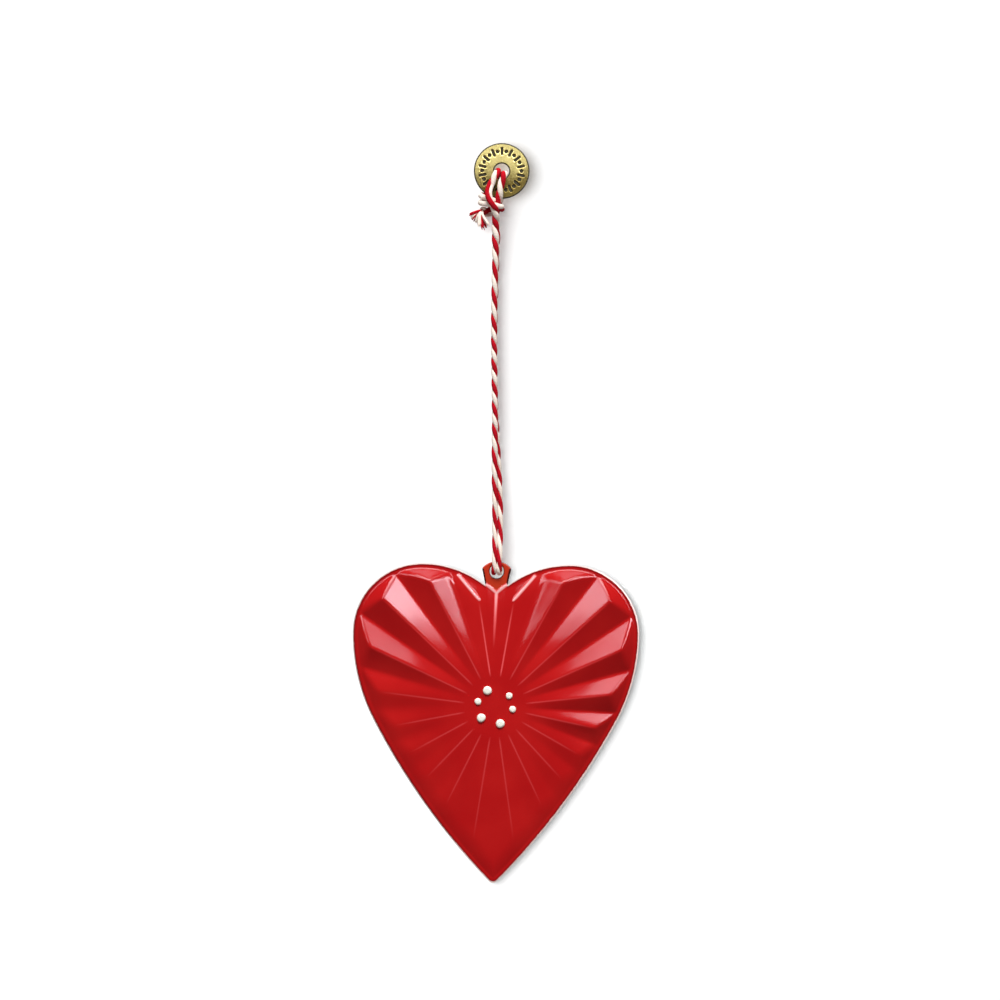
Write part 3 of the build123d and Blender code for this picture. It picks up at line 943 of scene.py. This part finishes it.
def twine_stretch(name, first, last):
    """The yarns of the twine between two points of its line."""
    points, faces, slots, along, around = [], [], [], [], []
    rings = last - first + 1
    for yarn, colour in zip(yarns, YARN_COLOURS):
        start = len(points)
        points.extend(yarn[first:last + 1].reshape(-1, 3))
        along.extend(np.repeat(twine_run[first:last + 1] * MILLIMETRES, YARN_SIDES))
        around.extend(np.tile(np.arange(YARN_SIDES) * 2 * math.pi / YARN_SIDES, rings))
        new = tube_faces(rings, YARN_SIDES, start)
        faces += new
        slots += [colour] * len(new)
    marks = {"along": along, "around": around}
    return add_piece(name, points, faces, cottons, slots, marks, sharp=80)


middle = len(twine_line) // 2
knot_end = int(np.argmin(twine_line[:middle, 2] > KNOT_FOOT))
front_cut = cut_place(UPPER_CUT, knot_end)
left_cut = cut_place(LOWER_CUT, front_cut)
right_cut = cut_place(LOWER_CUT, left_cut + ROUTE_STEPS)
back_cut = cut_place(UPPER_CUT, right_cut)
end = len(twine_line) - 1
knot_bend = ("knot", "upper_twine", (0, 0, KNOT_FLEX[0]), (0, 0, KNOT_FLEX[1]))
twist_bend = ("upper_twine", "lower_twine", (0, 0, TWIST_FLEX[0]), (0, 0, TWIST_FLEX[1]))
tab_bend = ("lower_twine", "tab_loop", (0, 0, TAB_FLEX[0]), (0, 0, TAB_FLEX[1]))
STRETCHES = [
    ("front_end_of_twine", 0, front_cut, knot_bend,
     ["twine_tag_strand_left", "twine_upper_leg_front", "twine_knot"]),
    ("left_leg_of_twine", front_cut, left_cut, twist_bend, ["twine_lower_leg_left"]),
    ("bight_of_twine", left_cut, right_cut, tab_bend, ["twine_tab_loop"]),
    ("right_leg_of_twine", right_cut, back_cut, twist_bend, ["twine_lower_leg_right"]),
    ("back_end_of_twine", back_cut, end, knot_bend, ["twine_tag_strand_right", "twine_upper_leg_back"]),
]
stretches = {}
for name, first, last, bend, nodes in STRETCHES:
    stretch = twine_stretch(name, first, last)
    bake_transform(stretch)
    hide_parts(*nodes)
    stretches[name] = (stretch, first, last)

# Frayed tails. The two cut ends of the cotton twine stick out to the left of the hitch. Each has opened
# into four or five tufts, red or white, whose fibres spread a little at the tips.
TAIL_TIPS = {
    "front": [
        (-0.0068, -0.0016, -0.0095, 0),
        (-0.0053, -0.0006, -0.0113, 1),
        (-0.0038, -0.0018, -0.0125, 0),
        (-0.0026, -0.0020, -0.0116, 1),
        (-0.0046, -0.0020, -0.0117, 1),
    ],
    "back": [
        (-0.0063, 0.0012, -0.0101, 1),
        (-0.0059, 0.0004, -0.0107, 0),
        (-0.0047, 0.0008, -0.0116, 1),
        (-0.0032, 0.0004, -0.0120, 0),
    ],
}
TAIL_WAY_STEPS = 4
FIBRES_PER_TUFT = 9
FIBRE_RADIUS = 0.00016
FIBRE_SPREAD = 0.0003
NECK_SPREAD = 0.00021
NECK_SINK = 0.0004
BEND_SPREAD = 0.00018
BEND_RUN = 0.0009
BEND_SHARE = 0.3
FIBRE_LENGTHS = (-0.12, 0.06)
SWELL_PLACES = (0, 0.6, 0.94, 1)
SWELL_SHARES = (1, 1, 0.85, 0.35)
FIBRE_FACING = (0.3, 0.9, 0.31)
FIBRE_STEPS = 6
FIBRE_SIDES = 6
FIBRE_PLY_STEP = 0.15


def frayed_tail(name, neck, way, tips, draw):
    """The fibres of one cut end, from the twine's end to the tips of its tufts."""
    points, faces, slots, along, around = [], [], [], [], []
    for tip_x, tip_y, tip_z, colour in tips:
        tip = np.array([tip_x, tip_y, tip_z])
        for _ in range(FIBRES_PER_TUFT):
            spread = np.array([draw.uniform(-1, 1) for _ in range(3)])
            start = neck + spread * NECK_SPREAD
            bend = neck + way * BEND_RUN + (tip - neck) * BEND_SHARE + spread * BEND_SPREAD
            finish = tip + spread * FIBRE_SPREAD + (tip - neck) * draw.uniform(*FIBRE_LENGTHS)
            line = smooth_line([start - way * NECK_SINK, start, bend, finish], FIBRE_STEPS)
            swell = np.interp(np.linspace(0, 1, len(line)), SWELL_PLACES, SWELL_SHARES)
            outward = np.tile(FIBRE_FACING, (len(line), 1))
            first = len(points)
            thin = FIBRE_RADIUS * swell
            points.extend(tube_points(line, outward, thin, thin, FIBRE_SIDES))
            new = tube_faces(len(line), FIBRE_SIDES, first)
            faces += new
            slots += [colour] * len(new)
            along.extend(np.repeat(np.arange(len(line)) * FIBRE_PLY_STEP, FIBRE_SIDES))
            around.extend(np.tile(np.arange(FIBRE_SIDES, dtype=float), len(line)))
    return add_piece(name, points, faces, cottons, slots, {"along": along, "around": around}, sharp=80)


tail_draw = random.Random(11)
front_way = unit(twine_line[0] - twine_line[TAIL_WAY_STEPS])
back_way = unit(twine_line[-1] - twine_line[-1 - TAIL_WAY_STEPS])
front_tail = frayed_tail("frayed_front_tail", twine_line[0], front_way, TAIL_TIPS["front"], tail_draw)
back_tail = frayed_tail("frayed_back_tail", twine_line[-1], back_way, TAIL_TIPS["back"], tail_draw)
for tail, node in ((front_tail, "twine_tail_front"), (back_tail, "twine_tail_back")):
    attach(tail, "knot")
    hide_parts(node)

# Where each stretch of the twine leaves, what its far end is, and the tail that goes with it.
CORD_ENDS = {
    "front_end_of_twine": (FRONT_HITCH[0], "bare", [front_tail]),
    "left_leg_of_twine": (LEGS[3], "object", []),
    "bight_of_twine": (LEGS[7], "object", []),
    "right_leg_of_twine": (LEGS[-4], "object", []),
    "back_end_of_twine": (BACK_HITCH[-1], "bare", [back_tail]),
}
for name, (leaves, far_end, pieces) in CORD_ENDS.items():
    stretch, first, last = stretches[name]
    twine_line[first:last + 1].tolist()

# Brass tag. A small disc of aged brass, blanked and pierced with one hole, whose rim is stamped with a ring
# of plain bars and dots. The stamped marks are dark with patina. Painted shade darkens the edges, and a
# painted light gradient makes the brass lighter at the top left and darker olive at the bottom right.
TAG_DIAMETER = 0.0119
TAG_THICKNESS = 0.0011
TAG_HOLE_DIAMETER = 0.0032
TAG_EDGE_ROUND = 0.00025
MARKS = 14
MARK_RADIUS = 0.0042
STROKE_LENGTH = 0.0017
STROKE_WIDTH = 0.00056
DOT_WIDTH = 0.00078
MARK_DEPTH = 0.00022
MARK_SLOPE = 0.00016
TAG_COLUMNS = 576
TAG_FACE_ROWS = 64
TAG_EDGE_ROWS = 6
# How fast the painted light gradient on the brass rises upwards and falls towards the right.
LIGHT_RISE = 150
LIGHT_LEAN = 12
BRASS = (0.63, 0.46, 0.165, 1)
BRASS_OLIVE_SHADED = (0.15, 0.095, 0.024, 1)
BRASS_DARK = (0.030, 0.022, 0.011, 1)


def aged_brass():
    """Brass painted lighter above and darker olive below, a painted light gradient mixed with patches of
    patina, dark with patina in the marks, and darkened along the edges by painted shade.
    """
    material, shader, start = new_material("aged_brass")
    sunk, edge = start.marked("sunk"), start.marked("edge")
    cloudy = start.mottle(0.0022, detail=4.0)
    speck = start.mottle(0.0003, detail=3.0)
    # Painted light gradient: the brass is lighter towards the top left and darker olive towards the bottom
    # right.
    lit_side = start.place_along(2) * LIGHT_RISE - start.place_along(0) * LIGHT_LEAN
    polish_and_light = -0.17 + lit_side + cloudy * 0.8 + speck * 0.75
    metal = polish_and_light.step(0.1, 1.1).mix(BRASS_OLIVE_SHADED, BRASS)
    # Dark with patina in the pressed marks, and painted shade in a band along the rim and the hole.
    patina_and_edge_shade = (sunk + (1 - edge.step(0.17, 0.45)) * 0.8 + (speck - 0.5) * 0.3).step(0.2, 0.75)
    start.feed(shader, {
        "Base Color": patina_and_edge_shade.mix(metal, BRASS_DARK),
        "Metallic": 1 - patina_and_edge_shade * 0.6,
        "Specular IOR Level": 0.1,
        "Roughness": 0.26 + patina_and_edge_shade * 0.3 + speck * 0.1,
        "Normal": start.bump(speck, 0.000002),
    })
    return material


def make_tag():
    """The disc, turned from its outline, with the marks pressed into its front."""
    hole, outer = TAG_HOLE_DIAMETER / 2, TAG_DIAMETER / 2
    turns = np.linspace(0, 2 * math.pi, TAG_COLUMNS, endpoint=False)
    bend = np.linspace(0, math.pi / 2, TAG_EDGE_ROWS)
    flat = -TAG_THICKNESS / 2
    front = flat + TAG_EDGE_ROUND
    face_reach = np.linspace(hole + TAG_EDGE_ROUND, outer - TAG_EDGE_ROUND, TAG_FACE_ROWS)[1:-1]
    across, back = TAG_EDGE_ROUND * (1 - np.cos(bend)), TAG_EDGE_ROUND * np.sin(bend)
    outline = [(hole + inward, front - forward) for inward, forward in zip(across, back)]
    outline += [(reach, flat) for reach in face_reach]
    outline += [(outer - inward, front - forward) for inward, forward in zip(across[::-1], back[::-1])]
    outline += [(reach, -y) for reach, y in reversed(outline)]
    spacing = 2 * math.pi / MARKS
    points, sunk, edge = [], [], []
    for reach, y in outline:
        bar_turn = (turns + spacing / 2) % spacing - spacing / 2
        dot_turn = turns % spacing - spacing / 2
        along = np.maximum(np.abs(reach - MARK_RADIUS) - (STROKE_LENGTH - STROKE_WIDTH) / 2, 0)
        bar = np.hypot(along, bar_turn * reach) - STROKE_WIDTH / 2
        dot = np.hypot(reach - MARK_RADIUS, dot_turn * reach) - DOT_WIDTH / 2
        press = np.clip(0.5 - np.minimum(bar, dot) / MARK_SLOPE, 0, 1)
        press = press * press * (3 - 2 * press) * (y <= flat + HAIR)
        x, z = reach * np.sin(turns), reach * np.cos(turns)
        points.append(np.stack([x, y + MARK_DEPTH * press, z], axis=-1))
        sunk.append(press)
        edge.append(np.full_like(turns, min(reach - hole, outer - reach) * MILLIMETRES))
    rows = len(outline)
    points = np.array(points).reshape(-1, 3)
    faces = grid_faces(rows, TAG_COLUMNS)
    last = (rows - 1) * TAG_COLUMNS
    for column in range(TAG_COLUMNS):
        after = (column + 1) % TAG_COLUMNS
        faces.append((last + column, last + after, after, column))
    marks = {"sunk": np.ravel(sunk), "edge": np.ravel(edge)}
    return add_piece("stamped_tag", points, faces, [aged_brass()], None, marks, sharp=60)


tag = make_tag()
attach(tag, "tag")
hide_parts("brass_tag")

# Studio. White cards close behind the pieces move with them, turn clear when tilted, and take the shadow of
# a lamp on the left. One window high in front and one behind light the ornament alone, soft boxes are only
# mirrored in its lacquer and metal, and all round is plain white.
CARDS = [
    ("tag_card", "tag", 0.22, (-0.0095, 0.0036), (0.6, 0.0036)),
    ("upper_bend_card", "upper_twine", 0.22, (-0.022, 0.0024), (-0.0095, 0.0036)),
    ("upper_twine_card", "upper_twine", 0.22, (-0.076, 0.0028), (-0.022, 0.0024)),
    ("tab_loop_card", "tab_loop", 0.22, (-0.0885, 0.0021), (-0.076, 0.0028)),
    ("heart_card", "heart", 0.06, (-0.7, 0.0021), (-0.0885, 0.0021)),
]
CARD_REACH = 0.6
CARD_UPRIGHT = (0.94, 0.98)
SURROUND_FILL = 0.29
AIM = Vector((0, 0, -HEART_DROP))


def white_card(name, glow):
    """Matte white that gives some of its light itself and is clear from behind, or when tilted."""
    material = bpy.data.materials.new(name)
    material.use_nodes = True
    start = Shade(material.node_tree)
    output = material.node_tree.nodes["Material Output"]
    material.node_tree.nodes.remove(material.node_tree.nodes["Principled BSDF"])
    own_light = start.node("Emission", {}, {"Color": (1, 1, 1, 1), "Strength": glow})
    matte = start.node("BsdfDiffuse", {}, {"Color": (1 - glow, 1 - glow, 1 - glow, 1)})
    lit = start.node("AddShader", {}, {0: matte, 1: own_light})
    normal = start.node("NewGeometry", output=1)
    rearward = start.node("SeparateXYZ", {}, {"Vector": normal}, output=1)
    behind = start.node("NewGeometry", output=6)
    upright = (0 - rearward).step(*CARD_UPRIGHT) * (1 - behind)
    clear = start.node("BsdfTransparent")
    start.feed(output, {"Surface": start.node("MixShader", {}, {0: upright, 1: clear, 2: lit})})
    return material


card_group = bpy.data.collections.new("cards")
for name, body, glow, low, high in CARDS:
    corners = [(x, behind, z) for z, behind in (low, high) for x in (-CARD_REACH, CARD_REACH)]
    card = add_piece(name, corners, [(0, 1, 3, 2)], [white_card(name, glow)])
    card.visible_diffuse = False
    card.visible_glossy = False
    card.visible_transmission = False
    card.visible_shadow = False
    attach(card, body)
    card_group.objects.link(card)


def add_lamp(name, azimuth, tilt, distance, size, radiance):
    """A soft lamp aimed at the heart, at an angle from the right and a tilt from straight in front."""
    turn, lean = math.radians(azimuth), math.radians(tilt)
    way = Vector((math.cos(turn) * math.sin(lean), -math.cos(lean), math.sin(turn) * math.sin(lean)))
    outward = Vector((math.cos(turn) * math.cos(lean), math.sin(lean), math.sin(turn) * math.cos(lean)))
    data = bpy.data.lights.new(name, "AREA")
    data.shape = "RECTANGLE"
    data.size, data.size_y = size
    data.energy = radiance * math.pi * size[0] * size[1]
    lamp = bpy.data.objects.new(name, data)
    lamp.location = AIM + way * distance
    sideways = outward.cross(way)
    lamp.rotation_euler = Matrix((sideways, outward, way)).transposed().to_euler()
    lamp.visible_camera = False
    scene.collection.objects.link(lamp)
    return lamp


shadow_lamp = add_lamp("shadow_lamp", 160, 27, 2.0, (1.5, 1.5), 6.1)
shadow_lamp.visible_glossy = False
shadow_lamp.light_linking.receiver_collection = card_group
window = add_lamp("window", 88, 58, 2.2, (1.22, 0.73), 23.2)
ornament_group = bpy.data.collections.new("ornament")
for piece in [heart, tag, front_tail, back_tail, *drops, *(stretch for stretch, *_ in stretches.values())]:
    ornament_group.objects.link(piece)
window.light_linking.receiver_collection = ornament_group
back_window = add_lamp("back_window", 95, 132, 0.9, (0.5, 0.3), 11.0)
back_window.light_linking.receiver_collection = ornament_group
BOX_TINT = (0.75, 0.91, 1.0)
SOFT_BOXES = [
    ("right_box", 44, 42, 0.44, (0.26, 0.16), 14.0),
    ("right_core", 44, 43, 0.44, (0.13, 0.09), 41.0),
    ("left_box", 126, 42, 0.44, (0.26, 0.16), 12.0),
    ("left_core", 128, 43, 0.44, (0.13, 0.07), 18.0),
    ("top_box", 90, 48, 0.9, (0.5, 0.3), 16.0),
    ("ceiling_box", 90, 84, 0.6, (0.9, 0.12), 9.0),
    ("back_box", 90, 178, 0.6, (0.9, 0.6), 0.7),
]
for box in SOFT_BOXES:
    soft_box = add_lamp(*box)
    soft_box.visible_diffuse = False
    soft_box.data.color = BOX_TINT

world = bpy.data.worlds.new("studio")
scene.world = world
world.use_nodes = True
sky = Shade(world.node_tree)
seen = sky.node("LightPath", output=0)
sky.feed(world.node_tree.nodes["Background"], {
    "Color": (1, 1, 1, 1),
    "Strength": SURROUND_FILL + seen * (1 - SURROUND_FILL),
})
